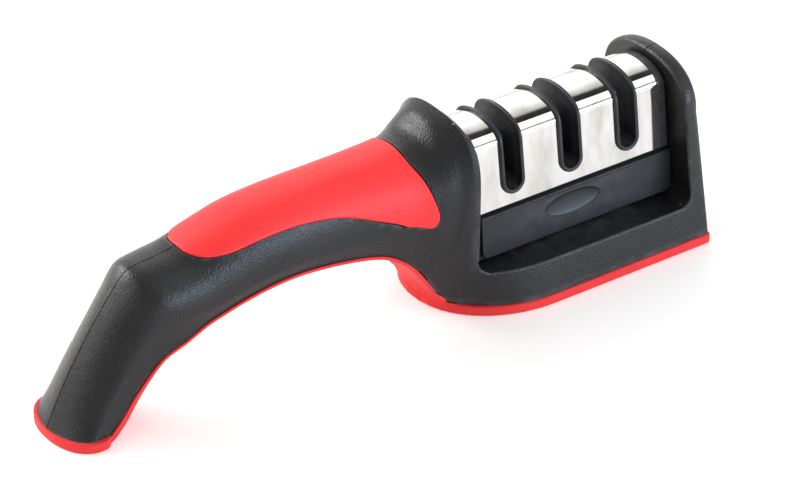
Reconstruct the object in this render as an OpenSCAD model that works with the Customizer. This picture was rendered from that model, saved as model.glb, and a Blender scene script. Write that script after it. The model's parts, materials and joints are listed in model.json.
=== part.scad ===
// Manual knife sharpener: arched handle, red grip and sole, lift-out cartridge with three blade slots.
// X runs from the tail foot to the front post, Y across, Z up from the table. Millimetres.

/* [Overall] */
// Length from the tail foot to the front post
length = 205; // [195:1:225]
// Width of the base across the sole
base_w = 51.6; // [48:0.2:58]
// Height of the shoulder behind the cartridge
crest_h = 58.8; // [56:0.2:62]
// Height of the front post
post_h = 53.8; // [51:0.2:56]

/* [Tail and handle] */
// Width of the tail foot
foot_w = 28; // [25:0.5:31]
// Length of the tail foot along X
foot_len = 13; // [11:0.5:15]
// Height of the bend where the leg meets the handle
bend_h = 43.2; // [41:0.2:46]
// Distance from the tail to that bend
leg_run = 26.8; // [24:0.2:30]
// How far the back of the leg bows outwards
leg_bow = 2.2; // [0:0.1:3]
// Width of the handle
handle_w = 27; // [25:0.5:30]
// Height of the handle's top under the grip
handle_h = 51.5; // [49:0.5:54]
// Height of the arch under the handle
arch_h = 31.6; // [29:0.2:34]
// Wall of the two body shells
wall = 2.4; // [2:0.1:3]

/* [Cradle] */
// How far the shoulder's top falls towards the cartridge
rear_drop = 1.7; // [0.8:0.1:2.6]
// Clear length between the shoulder and the front post
bay_len = 71; // [69:0.5:76]
// Thickness of the front post
post_t = 5.2; // [4.5:0.1:7]
// Width of the cradle above its flared foot
head_w = 38; // [36:0.5:42]
// Height of the cradle floor
floor_h = 13.2; // [12:0.2:14]
// Radius of the cradle's inner corners
bay_r = 4; // [2:0.5:6]
// Length of the rounded heel, seen from above
heel_len = 31; // [28:0.5:36]
// How far the heel's round tip lies behind the shoulder's front face
heel_back = 8.7; // [8:0.1:10]
// Length of the locating pocket in the cradle floor
pocket_len = 42; // [30:1:46]
// Width of the locating pocket
pocket_w = 16; // [10:0.5:18]
// Depth of the locating pocket
pocket_d = 5; // [3:0.2:6]

/* [Grip and sole] */
// Thickness of the sole under the base and the tail foot
sole_t = 3; // [2:0.2:4]
// Thickness of the sole under the handle
strip_t = 2; // [1.4:0.1:3]
// Thickness of the sole at the heel
heel_t = 2.4; // [1.8:0.1:3.2]
// How far the sole stands out past the shells
sole_lip = 0.6; // [0.2:0.1:1.2]
// Depth of the grip's seat in the shells
grip_t = 1.3; // [0.9:0.1:1.6]
// How far the grip stands above the shells
grip_rise = 0.3; // [0.1:0.1:0.6]
// Gap between glued or clamped pieces
seat_gap = 0.05; // [0.02:0.01:0.12]

/* [Cartridge] */
// Running clearance between the cartridge and the cradle
lift_gap = 0.4; // [0.2:0.05:0.8]
// Length of the steel cover
cover_len = 64.4; // [61:0.2:66]
// Sheet thickness of the steel cover
sheet = 0.6; // [0.4:0.05:0.9]
// Height of the cover's crown
cover_h = 50.4; // [48:0.2:52]
// Height of the cover's lower edge
cover_z = 28; // [26:0.2:29]
// Half width of the cover at its lower edge
cover_low = 12.4; // [11.8:0.1:13]
// Half width of the cover at its upper bend
cover_top = 9.2; // [8.6:0.1:10.4]
// Drop from the crown to the upper bend
crown = 1.5; // [0.8:0.1:2.2]
// Radius of the upper bend
bend_r = 2.5; // [1.5:0.1:3.5]
// Height of the lower panel's foot, above the cradle floor
panel_rise = 1.2; // [0.8:0.1:2]
// How far the core steps in under the lower panel
foot_step = 1.4; // [0.8:0.1:2.4]
// Radius of the lower panel's corners
panel_r = 1.6; // [0.8:0.1:2.4]
// Half width of the lower panel at its foot
panel_low = 14.6; // [14:0.1:15.6]
// Half width of the lower panel at its top
panel_top = 13.6; // [13.2:0.1:14.4]
// Groove between the cover and the lower panel
groove = 0.9; // [0.5:0.1:1.4]
// Spacing of the three blade slots
slot_pitch = 20; // [18:0.2:20.6]
// Clear width of a blade slot
slot_w = 5.4; // [5:0.1:6]
// Height of a slot's round bottom
slot_z = 32.2; // [31.6:0.2:33.4]
// Thickness of the lip around a slot
lip = 1.2; // [0.8:0.1:1.5]
// How far the lip stands above the steel
lip_rise = 0.9; // [0.4:0.1:1.4]
// Length of a finger scoop
scoop_len = 20; // [14:1:26]
// Height of a finger scoop
scoop_h = 7; // [5:0.5:8]
// Depth of a finger scoop
scoop_d = 1.3; // [0.6:0.1:1.6]
// Height of a finger scoop's middle
scoop_z = 22; // [20.8:0.2:22.4]
// Wall of the cartridge around its hollow foot
core_wall = 3; // [2.4:0.1:4]
// Height of the hollow in the cartridge's foot
hollow_h = 8; // [6:0.5:9]

/* [Sharpening stages] */
// Diameter of the abrasive and ceramic rods
rod_d = 2.6; // [2:0.1:3]
// Length of the rods and blades
rod_len = 20; // [17:0.5:21]
// Lean of the rods and blades from upright, in degrees
lean = 25; // [20:1:28]
// Height at which a pair crosses
cross_z = 35; // [34.4:0.2:36]
// Thickness of the carbide blades
blade_t = 1.8; // [1.4:0.1:2.4]
// Width of the carbide blades
blade_w = 3.6; // [3:0.2:4.2]
// Gap between the two rods or blades of a pair
pair_gap = 0.6; // [0.3:0.1:1]

/* [Fasteners] */
// Distance of the base screw from the front post
base_screw_in = 5; // [4.6:0.2:6]
// Shank diameter of the body screws
screw_d = 2.9; // [2.2:0.1:3.5]
// Head diameter of the body screws
screw_head = 5.4; // [4.6:0.1:6]
// Head height of the body screws
screw_head_h = 2; // [1.4:0.1:2.6]
// Length of the body screws under the head
screw_len = 14; // [11:0.5:16]
// Distance from the split plane to the screw heads' seats
screw_seat = 8; // [7:0.2:8.6]
// Diameter of the bosses round the body screws
boss_d = 8; // [7.6:0.1:9]
// Shank diameter of the cartridge screws
core_screw_d = 2.2; // [1.8:0.1:2.6]
// Head diameter of the cartridge screws
core_head = 4; // [3.4:0.1:4.6]
// Head height of the cartridge screws
core_head_h = 1.5; // [1:0.1:2]
// Length of the cartridge screws under the head
core_screw_len = 12; // [9:0.5:14]
// Distance from the split plane to the cartridge screws' seats
core_seat = 6; // [5:0.2:7]
// Radial play of a screw shank in its hole
screw_play = 0.05; // [0.02:0.01:0.1]
// Radial room round a screw head
head_room = 0.3; // [0.2:0.05:0.5]

/* [Hidden] */
$fn = 48;
// Overcut that keeps cuts clear of the faces they open
over = 1;

black = [0.13, 0.13, 0.14];
core_black = [0.17, 0.17, 0.18];
red = [0.92, 0.22, 0.22];
steel = [0.82, 0.82, 0.83];
white = [0.93, 0.92, 0.88];
grey = [0.42, 0.43, 0.45];

tail_x = -length / 2;
front_x = length / 2;
bend_x = tail_x + leg_run;
bay_x1 = front_x - sole_lip - post_t;
bay_x0 = bay_x1 - bay_len;
mid_x = (bay_x0 + bay_x1) / 2;
heel_c = bay_x0 + heel_len - heel_back;

// Places along the handle and the leg, as shares of the named lengths and heights
function hx(f) = bend_x + f * (bay_x0 - bend_x);
function hz(f) = bend_h + f * (handle_h - bend_h);
function az(f) = sole_t + f * (arch_h - sole_t);
function cz(f) = handle_h + f * (crest_h - handle_h);
function leg_x(f) = tail_x + sole_lip + f * (leg_run - sole_lip) - leg_bow * 4 * f * (1 - f);
function leg_z(f) = sole_t + f * (bend_h - sole_t);
function arch_x(f) = tail_x + foot_len + f * (hx(0.17) - tail_x - foot_len);

// Half width of the base at its foot: a round heel, then straight
heel_power = 2.1;
function heel_round(f) = pow(max(0.01, 1 - pow(f, heel_power)), 1 / heel_power);
function base_half(x) = base_w / 2 * (x < heel_c ? heel_round((heel_c - x) / heel_len) : 1);
function base_shell(x) = base_half(x) - sole_lip;

hw = handle_w / 2;
fw = foot_w / 2 - sole_lip;
gw = head_w / 2;
rear_top = crest_h - rear_drop;
function bay_top(x) = rear_top + (post_h - rear_top) * x / bay_len;

// One row per control section: crown x and z, sole edge x and z, half width, half width at the sole,
// share of the depth at the widest point, squareness
rows = [
    [leg_x(0), leg_z(0), arch_x(0), az(0), fw - 0.4, fw - 1, 0.58, 1.75],
    [leg_x(0.13), leg_z(0.13), arch_x(0.11), az(0.133), fw - 1, fw - 0.8, 0.58, 1.6],
    [leg_x(0.34), leg_z(0.34), arch_x(0.25), az(0.318), hw - 1.3, hw - 1.2, 0.58, 1.55],
    [leg_x(0.54), leg_z(0.54), arch_x(0.39), az(0.476), hw - 1.4, hw - 1.3, 0.57, 1.55],
    [leg_x(0.72), leg_z(0.72), arch_x(0.53), az(0.608), hw - 1.2, hw - 1.3, 0.56, 1.6],
    [leg_x(0.86), leg_z(0.86), arch_x(0.645), az(0.672), hw - 1, hw - 1.2, 0.55, 1.75],
    [leg_x(0.955), leg_z(0.955), arch_x(0.76), az(0.717), hw - 0.6, hw - 1.1, 0.55, 1.95],
    [hx(0.012), hz(0), arch_x(0.86), az(0.77), hw - 0.2, hw - 1, 0.55, 2.1],
    [hx(0.072), hz(0.08), hx(0.17), az(0.836), hw, hw - 1, 0.55, 2.2],
    [hx(0.141), hz(0.18), hx(0.225), az(0.89), hw, hw - 1, 0.55, 2.2],
    [hx(0.23), hz(0.5), hx(0.28), az(0.937), hw, hw - 1, 0.55, 2.2],
    [hx(0.343), hz(0.84), hx(0.373), az(0.99), hw, hw - 1, 0.55, 2.2],
    [hx(0.471), hz(0.96), hx(0.481), az(1), hw, hw - 1, 0.55, 2.2],
    [hx(0.629), hz(1), hx(0.619), az(0.937), hw, hw - 1, 0.52, 2.2],
    [hx(0.748), hz(1.01), hx(0.728), az(0.84), hw + 0.6, hw - 1, 0.5, 2.2],
    [hx(0.85), cz(0.07), hx(0.797), az(0.696), hw + 1.4, hw - 1, 0.5, 2.2],
    [hx(0.9), cz(0.27), hx(0.841), az(0.535), hw + 2.6, hw - 1.1, 0.5, 2.25],
    [hx(0.931), cz(0.62), hx(0.878), az(0.343), gw - 2, hw - 1.5, 0.48, 2.35],
    [hx(0.953), cz(0.92), hx(0.911), az(0.14), gw - 1.2, hw - 2.4, 0.44, 2.6],
    [hx(0.976), cz(1), hx(0.937), az(0), gw - 0.7, base_shell(hx(0.937)), 0.38, 2.9],
    [hx(0.995), rear_top, hx(0.995), az(0), gw - 0.2, base_shell(hx(0.995)), 0.34, 3.2],
    for (x = [5, 11, 18, 26, bay_len / 2, bay_len - 5])
        [bay_x0 + x, bay_top(x), bay_x0 + x, sole_t, gw, base_shell(bay_x0 + x),
         0.33 - 0.06 * x / bay_len, 3.2 - 0.9 * x / bay_len],
    [bay_x1 + 0.08 * post_t, post_h - 0.3, bay_x1 + 0.08 * post_t, sole_t, gw, base_shell(bay_x1), 0.27, 2.3],
    [bay_x1 + 0.36 * post_t, post_h, bay_x1 + 0.36 * post_t, sole_t, gw, base_shell(bay_x1), 0.27, 2.3],
    [bay_x1 + 0.7 * post_t, post_h - 0.1, bay_x1 + 0.7 * post_t, sole_t,
     gw - 0.4, base_shell(bay_x1), 0.27, 2.3],
    [bay_x1 + 0.93 * post_t, post_h - 0.8, bay_x1 + 0.95 * post_t, sole_t,
     gw - 1.2, base_shell(bay_x1) - 0.2, 0.27, 2.3],
    [bay_x1 + 0.97 * post_t, post_h - 1.8, bay_x1 + post_t, sole_t,
     gw - 2.2, base_shell(bay_x1) - 0.7, 0.27, 2.3],
];
last_row = len(rows) - 1;
step = 0.5;
// First and last section of the hollow in the shells, and of the sole's strip
hollow_u = [1, 18.5];
strip_u = [0, 19];

// Smooth curve through the control sections, and the section at any place u along them
function blend4(a, b, c, d, t) =
    0.5 * (2 * b + (c - a) * t + (2 * a - 5 * b + 4 * c - d) * t * t + (3 * b - a - 3 * c + d) * t * t * t);
function row_at(u) =
    let (i = min(floor(u), last_row - 1),
         r = blend4(rows[max(i - 1, 0)], rows[i], rows[i + 1], rows[min(i + 2, last_row)], u - i))
    [r[0], r[1], r[2], max(r[3], sole_t), r[4], r[5], r[6], r[7]];

// A point of the section: q runs from the crown (0) round the side (q_side) to the sole edge (1)
q_side = 0.6;
flare_power = 1.25;
function pos_pow(a, p) = a <= 0 ? 0 : pow(a, p);
function body_point(u, q, inset = 0, side = -1) =
    let (r = row_at(u), d = norm([r[2] - r[0], r[3] - r[1]]), m = r[6] * d, a = 90 * min(1, q / q_side),
         t = max(0, (q - q_side) / (1 - q_side)), w = r[4] - inset,
         s = q <= q_side ? inset + (m - inset) * (1 - pos_pow(cos(a), 2 / r[7])) : m + (d - m) * t,
         y = q <= q_side ? w * pos_pow(sin(a), 2 / r[7]) : w + (r[5] - r[4]) * pow(t, flare_power))
    [r[0] + (r[2] - r[0]) * s / d, side * y, r[1] + (r[3] - r[1]) * s / d];
function sole_mid(u, y = 0) = let (r = row_at(u)) [r[2], y, r[3]];
function centre(u) = let (r = row_at(u)) [(r[0] + r[2]) / 2, (r[1] + r[3]) / 2];

q_list = [for (i = [0 : 9]) q_side * i / 9, for (i = [1 : 5]) q_side + (1 - q_side) * i / 5];
q_last = len(q_list) - 1;

// Closed solid through rings of equally many points, each ring fanned from its first point
module skin(rings) {
    n = len(rings[0]);
    k = len(rings);
    polyhedron(
        points = [for (r = rings) each r],
        faces = [
            for (i = [1 : n - 2]) [0, i + 1, i],
            for (i = [1 : n - 2]) [(k - 1) * n, (k - 1) * n + i, (k - 1) * n + i + 1],
            for (j = [0 : k - 2], i = [0 : n - 1])
                let (a = j * n + i, b = j * n + (i + 1) % n, c = a + n, d = b + n)
                each [[a, b, c], [b, d, c]],
        ],
        convexity = 8);
}

// Closed sheet between two grids of points, outer and inner
module sheet_solid(outer, inner) {
    k = len(outer);
    n = len(outer[0]);
    o = k * n;
    polyhedron(
        points = [for (r = outer) each r, for (r = inner) each r],
        faces = [
            for (j = [0 : k - 2], i = [0 : n - 2])
                let (a = j * n + i, b = a + 1, c = a + n, d = c + 1)
                each [[a, b, c], [b, d, c], [o + a, o + c, o + b], [o + b, o + c, o + d]],
            for (i = [0 : n - 2]) each [[i, o + i, i + 1], [i + 1, o + i, o + i + 1]],
            for (i = [0 : n - 2])
                let (a = (k - 1) * n + i) each [[a, a + 1, o + a], [a + 1, o + a + 1, o + a]],
            for (j = [0 : k - 2]) let (a = j * n) each [[a, a + n, o + a], [a + n, o + a + n, o + a]],
            for (j = [0 : k - 2])
                let (a = j * n + n - 1) each [[a, o + a, a + n], [a + n, o + a, o + a + n]],
        ],
        convexity = 8);
}

// Prism along Y of an outline in X and Z, and along X of an outline in Y and Z
module along_y(h) { rotate([90, 0, 0]) linear_extrude(h, center = true) children(); }
module along_x(x0, x1) { translate([x0, 0, 0]) rotate([90, 0, 90]) linear_extrude(x1 - x0) children(); }
// Cylinder along Y from y0 to y1
module pin_y(x, z, d, y0, y1) { translate([x, y0, z]) rotate([-90, 0, 0]) cylinder(d = d, h = y1 - y0); }

// Points of an arc from angle a0 to a1 in n steps
function arc(cx, cy, r, a0, a1, n) =
    [for (i = [0 : n]) let (a = a0 + (a1 - a0) * i / n) [cx + r * cos(a), cy + r * sin(a)]];

// A line from the point p through the crown point c, carried on past the split plane
function past_split(c, p) = c + (c - p) * over / abs(p[1]);

// Section of one half on the near side, run on past the split plane
function half_ring(u, inset) = [
    sole_mid(u, over),
    for (i = [q_last : -1 : 1]) body_point(u, q_list[i], inset),
    past_split(body_point(u, 0, inset), body_point(u, q_list[1], inset))];

// Half of the body's outer form, and its hollow, open towards the split plane and the sole
module half_form() { skin([for (u = [0 : step : last_row]) half_ring(u, 0)]); }
module half_hollow() { skin([for (u = [hollow_u[0] : step : hollow_u[1]]) half_ring(u, wall)]); }

// Everything on the near side of the split plane
module near_side() {
    translate([-length, -base_w, -over]) cube([2 * length, base_w, 2 * crest_h]);
}

// Body screws: in the leg, the handle, the shoulder and the base
screw_u = [2.6, 12, 16.4];
base_screw_x = bay_x1 - base_screw_in;
screw_at = [for (u = screw_u) centre(u), [base_screw_x, (sole_t + floor_h) / 2]];
hole_d = screw_d + 2 * screw_play;
head_hole = screw_head + 2 * head_room;
screw_tip = screw_seat - screw_len;

// Locating pocket and the hollow under the cradle floor
pocket_x0 = mid_x - pocket_len / 2;
base_hollow_x = [bay_x0 + bay_r + wall, base_screw_x - boss_d / 2 - wall];
base_hollow_y = gw - wall / 2;

module pocket(grow, z0, z1) {
    translate([pocket_x0 - grow, -pocket_w / 2 - grow, z0])
        cube([pocket_len + 2 * grow, pocket_w + 2 * grow, z1 - z0]);
}

module base_hollow() {
    difference() {
        translate([base_hollow_x[0], -base_hollow_y, -over])
            cube([base_hollow_x[1] - base_hollow_x[0], 2 * base_hollow_y, floor_h - wall + over]);
        pocket(wall, -2 * over, floor_h);
    }
}

// Space between the shoulder and the front post, with round lower corners
function bay_outline(x0, x1, z0, z1, r) = [
    [x1, z1], [x0, z1],
    each arc(x0 + r, z0 + r, r, 180, 270, 8),
    each arc(x1 - r, z0 + r, r, 270, 360, 8)];
module bay() { along_y(2 * base_w) polygon(bay_outline(bay_x0, bay_x1, floor_h, 2 * crest_h, bay_r)); }

// One body half on the near side, before its screw holes
module half_shell() {
    intersection() {
        difference() {
            half_form();
            difference() {
                half_hollow();
                for (p = screw_at) pin_y(p[0], p[1], boss_d, -base_w, 2 * over);
            }
            base_hollow();
            bay();
            pocket(0, floor_h - pocket_d, floor_h + over);
            grip_seat();
        }
        near_side();
    }
}

module near_shell() {
    color(black) difference() {
        half_shell();
        for (p = screw_at) pin_y(p[0], p[1], hole_d, screw_tip - screw_play, over);
    }
}

module far_shell() {
    color(black) difference() {
        mirror([0, 1, 0]) half_shell();
        for (p = screw_at) {
            pin_y(p[0], p[1], hole_d, -over, screw_seat + over);
            pin_y(p[0], p[1], head_hole, screw_seat, base_w);
        }
    }
}

// Cross recess in the head of a screw along Y
module cross_recess(p, head, y, depth) {
    for (a = [0, 90]) translate([p[0], y, p[1]]) rotate([0, a, 0])
        cube([head * 0.6, depth, head * 0.16], center = true);
}

module body_screws() {
    color(steel) for (p = screw_at) difference() {
        union() {
            pin_y(p[0], p[1], screw_d, screw_tip, screw_seat);
            pin_y(p[0], p[1], screw_head, screw_seat, screw_seat + screw_head_h);
        }
        cross_recess(p, screw_head, screw_seat + screw_head_h, screw_head_h);
    }
}

// Grip outline on the body: its lower edge by section, and its front edge by share of the way down
grip_u0 = 9.15;
grip_low = [[9.12, 0.03], [9.2, 0.13], [9.38, 0.225], [9.7, 0.305], [10.1, 0.36], [10.4, 0.385],
            [10.9, 0.405], [11.9, 0.425], [12.3, 0.45], [12.7, 0.49], [13.2, 0.56], [13.7, 0.62],
            [14.4, 0.68], [15.3, 0.69], [16, 0.68], [16.6, 0.65]];
grip_front = 14.86;
grip_tip = 16.5;
function grip_end(v) =
    v < 0.2 ? grip_front
    : v < 0.87 ? grip_front + (grip_tip - grip_front) * pow((v - 0.2) / 0.67, 2)
    : grip_tip - 0.4 * pow((v - 0.87) / 0.13, 2);
grip_n = 26;
grip_m = 8;
// A point of the grip at a depth under the body's surface, its edge moved out by grow
function grip_point(j, i, inset, grow) =
    let (v = abs(i) / grip_m, u = grip_u0 - grow + (grip_end(v) - grip_u0 + 2 * grow) * j / grip_n,
         q = v * (lookup(u, grip_low) + grow))
    body_point(u, q, inset, i < 0 ? -1 : 1);
function grip_grid(inset) = [
    for (j = [0 : grip_n]) [for (i = [-grip_m : grip_m]) grip_point(j, i, inset, 0)]];
// Share of a section's spacing that equals the seat gap
grip_grow = seat_gap / 8;
// Near half of the grip's seat, run on past the split plane
function seat_grid(inset) = [
    for (j = [0 : grip_n]) [
        for (i = [-grip_m : -1]) grip_point(j, i, inset, grip_grow),
        past_split(grip_point(j, 0, inset, grip_grow), grip_point(j, -1, inset, grip_grow))]];

module grip_seat() { sheet_solid(seat_grid(-over), seat_grid(grip_t + seat_gap)); }
module grip_pad() { color(red) sheet_solid(grip_grid(-grip_rise), grip_grid(grip_t)); }

// Sole: a strip under the handle, a pad under the tail foot and a plate under the base.
// The strip's ends stay this far above the table, inside the pad and the plate
strip_low = sole_t / 4;
function ease(t) = let (c = min(1, max(0, t))) c * c * (3 - 2 * c);
function heel_share(u) = ease((u - 14.5) / (strip_u[1] - 14.5));
function strip_depth(u) = strip_t + (heel_t - strip_t) * heel_share(u);
// Outward normal of the strip, turning level where the heel meets the plate
function strip_normal(u) =
    let (a = sole_mid(max(0, u - step)), b = sole_mid(u + step), t = b - a,
         c = [t[2], 0, -t[0]] / norm(t), k = ease((u - 17) / (strip_u[1] - 17)), n = c * (1 - k) + [-k, 0, 0])
    n / norm(n);
// Depth of the strip across its width: flat with soft edges, rounder at the heel
strip_across = [1, 0.97, 0.88, 0.7, 0.4, 0, -0.4, -0.7, -0.88, -0.97, -1];
strip_edge = 0.5;
function strip_curve(u, s) =
    let (p = 6 - 3.6 * heel_share(u), e = strip_edge - 0.15 * heel_share(u))
    strip_depth(u) * (e + (1 - e) * pos_pow(1 - pow(abs(s), p), 1 / p));
function strip_ring(u) =
    let (b = sole_mid(u), n = strip_normal(u), w = row_at(u)[5] + sole_lip,
         drop = u < strip_u[1] ? 0 : strip_low)
    [for (p = [[seat_gap, 1], for (s = strip_across) [strip_curve(u, s), s], [seat_gap, -1]])
        [b[0] + n[0] * p[0], p[1] * w, max(b[2] + n[2] * p[0] - drop, strip_low)]];
foot_edge = [for (i = [0 : q_last]) let (p = body_point(0, q_list[i], -sole_lip)) [p[0], p[1]]];
foot_front = arch_x(0) + strip_t * 0.7;
foot_outline = [
    each foot_edge,
    [foot_front, foot_edge[q_last][1] + strip_t / 2],
    [foot_front, -foot_edge[q_last][1] - strip_t / 2],
    for (i = [q_last : -1 : 1]) [foot_edge[i][0], -foot_edge[i][1]]];
heel_tip = heel_c - heel_len;
base_edge = [for (i = [0 : 16]) let (x = heel_tip + heel_len * pow(i / 16, 1.6)) [x, base_half(x)]];
base_outline = [
    for (p = base_edge) [p[0], -p[1]],
    [front_x, -base_w / 2], [front_x, base_w / 2],
    for (i = [len(base_edge) - 1 : -1 : 0]) base_edge[i]];

module sole() {
    color(red) {
        linear_extrude(sole_t - seat_gap) polygon(foot_outline);
        linear_extrude(sole_t - seat_gap) polygon(base_outline);
        skin([for (u = [strip_u[0] : step : strip_u[1]]) strip_ring(u)]);
    }
}

// Cartridge: places along X, then the half outlines seen along X
core_x0 = bay_x0 + lift_gap;
core_x1 = bay_x1 - lift_gap;
core_z = floor_h + lift_gap;
cover_x0 = mid_x - cover_len / 2;
cover_x1 = mid_x + cover_len / 2;
slot_x = [for (i = [-1 : 1]) mid_x + i * slot_pitch];
panel_z = cover_z - groove;
panel_z0 = floor_h + panel_rise;

// Half outline of the steel cover's outside, moved in by t, from its lower edge to the crown
side_turn = atan2(cover_low - cover_top, cover_h - crown - cover_z);
crown_r = (cover_top * cover_top + crown * crown) / (2 * crown);
bend_z = cover_h - crown - bend_r * 0.95;
bend_y = cover_top - bend_r * 0.82;
function cover_half(t) = [
    [cover_low - t, cover_z],
    each arc(bend_y, bend_z, bend_r - t, -side_turn + 6, 90 - asin(bend_y / crown_r) - 6, 6),
    for (i = [3 : -1 : 0])
        let (y = bend_y * i / 4) [y, cover_h - crown_r + sqrt(pow(crown_r - t, 2) - y * y)]];
function flip(list) = [for (p = list) [-p[0], p[1]]];
function back(list) = [for (i = [len(list) - 1 : -1 : 0]) list[i]];

// Outline of a slot seen along Y, with its round bottom
module slot_shape(w, z) {
    translate([0, z + w / 2]) circle(d = w);
    translate([-w / 2, z + w / 2]) square([w, cover_h]);
}
module slots(grow) {
    for (x = slot_x) translate([x, 0, 0]) along_y(2 * base_w) slot_shape(slot_w + 2 * grow, slot_z - grow);
}

// Football-shaped cutter for a finger scoop
scoop_r = (pow(scoop_h / 2, 2) + pow(scoop_d, 2)) / (2 * scoop_d);
scoop_bow = (pow(scoop_len / 2, 2) + pow(scoop_d, 2)) / (2 * scoop_d);
scoop_face = panel_low - (panel_low - panel_top) * (scoop_z - panel_z0) / (panel_z - panel_z0);
module scoop() {
    translate([mid_x, -scoop_face - scoop_r + scoop_d, scoop_z]) rotate([0, 90, 0]) rotate_extrude()
        intersection() {
            translate([scoop_r - scoop_bow, 0]) circle(r = scoop_bow, $fn = 96);
            translate([0, -scoop_bow]) square([scoop_bow, 2 * scoop_bow]);
        }
}

core_screw_at = [for (i = [-0.5, 0.5]) [mid_x + i * slot_pitch, cover_z + core_head / 2 + 1]];
core_hole = core_screw_d + 2 * screw_play;
core_head_hole = core_head + 2 * head_room;
core_tip = core_seat - core_screw_len;

// Rods and blades lie across their slot, each pair crossed, one on either side of the split plane
rod_y = (pair_gap + rod_d) / 2;
blade_y = (pair_gap + blade_t) / 2;
module in_slot(i, y, turn) { translate([slot_x[i], y, cross_z]) rotate([0, turn, 0]) children(); }
module rod() { cylinder(d = rod_d, h = rod_len, center = true); }
module blade() { cube([blade_w, blade_t, rod_len], center = true); }
// Seat for a rod or a blade, open towards the split plane
module rod_seat() {
    cylinder(d = rod_d + 2 * seat_gap, h = rod_len + 2 * seat_gap, center = true);
    translate([-rod_d / 2 - seat_gap, 0, -rod_len / 2 - seat_gap])
        cube([rod_d + 2 * seat_gap, rod_y + over, rod_len + 2 * seat_gap]);
}
module blade_seat() {
    translate([-blade_w / 2 - seat_gap, -blade_t / 2 - seat_gap, -rod_len / 2 - seat_gap])
        cube([blade_w + 2 * seat_gap, blade_y + blade_t / 2 + over, rod_len + 2 * seat_gap]);
}

// Locating plug under the core that drops into the cradle's pocket
plug_z = floor_h - pocket_d + lift_gap;
module half_plug() {
    translate([pocket_x0 + lift_gap, lift_gap - pocket_w / 2, plug_z])
        cube([pocket_len - 2 * lift_gap, pocket_w / 2 - lift_gap, core_z + hollow_h - plug_z]);
}

// Outside of a core half on the near side: lower panel, block under the steel, end rims and slot lips
module half_block() {
    inner = flip(cover_half(sheet + seat_gap));
    rim = flip(cover_half(0));
    proud = flip(cover_half(-lip_rise));
    foot_y = foot_step - panel_low;
    intersection() {
        along_x(core_x0, core_x1)
            polygon([[0, panel_z0], [-panel_low, panel_z0], [-panel_top, panel_z], [0, panel_z]]);
        along_y(2 * base_w) polygon(bay_outline(core_x0, core_x1, panel_z0, 2 * cover_h, panel_r));
    }
    along_x(core_x0, core_x1)
        polygon([each inner, [0, core_z], [foot_y, core_z], [foot_y, panel_z0 + over],
                 [inner[0][0], panel_z0 + over]]);
    along_x(core_x0, cover_x0 - seat_gap) polygon([each rim, [0, cover_z]]);
    along_x(cover_x1 + seat_gap, core_x1) polygon([each rim, [0, cover_z]]);
    for (x = slot_x) intersection() {
        along_x(x - slot_w, x + slot_w) polygon([each proud, [0, cover_z]]);
        translate([x, 0, 0]) along_y(2 * base_w) slot_shape(slot_w + 2 * lip, slot_z - lip);
    }
}

// A core half on the near side, before its screw holes; turn is the lean of its rods and blade
module half_core(turn) {
    difference() {
        intersection() {
            half_block();
            along_y(2 * base_w)
                polygon(bay_outline(core_x0, core_x1, core_z, 2 * cover_h, bay_r - lift_gap));
        }
        slots(0);
        scoop();
        translate([core_x0 + bay_r + core_wall, core_wall - panel_top, core_z - over])
            cube([core_x1 - core_x0 - 2 * (bay_r + core_wall), panel_top, hollow_h + over]);
        in_slot(0, -rod_y, turn) rod_seat();
        in_slot(1, -blade_y, turn) blade_seat();
        in_slot(2, -rod_y, turn) rod_seat();
    }
    half_plug();
}

module core_near() {
    color(core_black) difference() {
        half_core(lean);
        for (p = core_screw_at) pin_y(p[0], p[1], core_hole, core_tip - screw_play, over);
    }
}

module core_far() {
    color(core_black) difference() {
        mirror([0, 1, 0]) half_core(-lean);
        for (p = core_screw_at) {
            pin_y(p[0], p[1], core_hole, -over, core_seat + over);
            pin_y(p[0], p[1], core_head_hole, core_seat, base_w);
        }
    }
}

// Bent cover over both core halves, with a cut round each slot's lip
function cover_rim(t) = let (h = cover_half(t)) [each flip(h), for (i = [len(h) - 2 : -1 : 0]) h[i]];
module steel_cover() {
    color(steel) difference() {
        along_x(cover_x0, cover_x1) polygon([each cover_rim(0), each back(cover_rim(sheet))]);
        slots(lip + seat_gap);
    }
}

module core_screws() {
    color(steel) for (p = core_screw_at) difference() {
        union() {
            pin_y(p[0], p[1], core_screw_d, core_tip, core_seat);
            pin_y(p[0], p[1], core_head, core_seat, core_seat + core_head_h);
        }
        cross_recess(p, core_head, core_seat + core_head_h, core_head_h);
    }
}

module abrasive_rod_near() { color(grey) in_slot(0, -rod_y, lean) rod(); }
module abrasive_rod_far() { color(grey) in_slot(0, rod_y, -lean) rod(); }
module carbide_blade_near() { color(grey) in_slot(1, -blade_y, lean) blade(); }
module carbide_blade_far() { color(grey) in_slot(1, blade_y, -lean) blade(); }
module ceramic_rod_near() { color(white) in_slot(2, -rod_y, lean) rod(); }
module ceramic_rod_far() { color(white) in_slot(2, rod_y, -lean) rod(); }

near_shell();
far_shell();
grip_pad();
sole();
body_screws();
core_near();
core_far();
steel_cover();
core_screws();
abrasive_rod_near();
abrasive_rod_far();
carbide_blade_near();
carbide_blade_far();
ceramic_rod_near();
ceramic_rod_far();
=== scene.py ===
# %% [markdown]
# # A three-slot knife sharpener
# The object is a hand-held sharpener: a black body moulded in two halves, a red soft grip and sole,
# and a cartridge that drops into a cradle at the front. This lesson dresses its CAD frame.
# The frame is loaded first, because every piece below is placed by it and rides on one of its bodies.

# %% Load the frame
import json
import math

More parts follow.
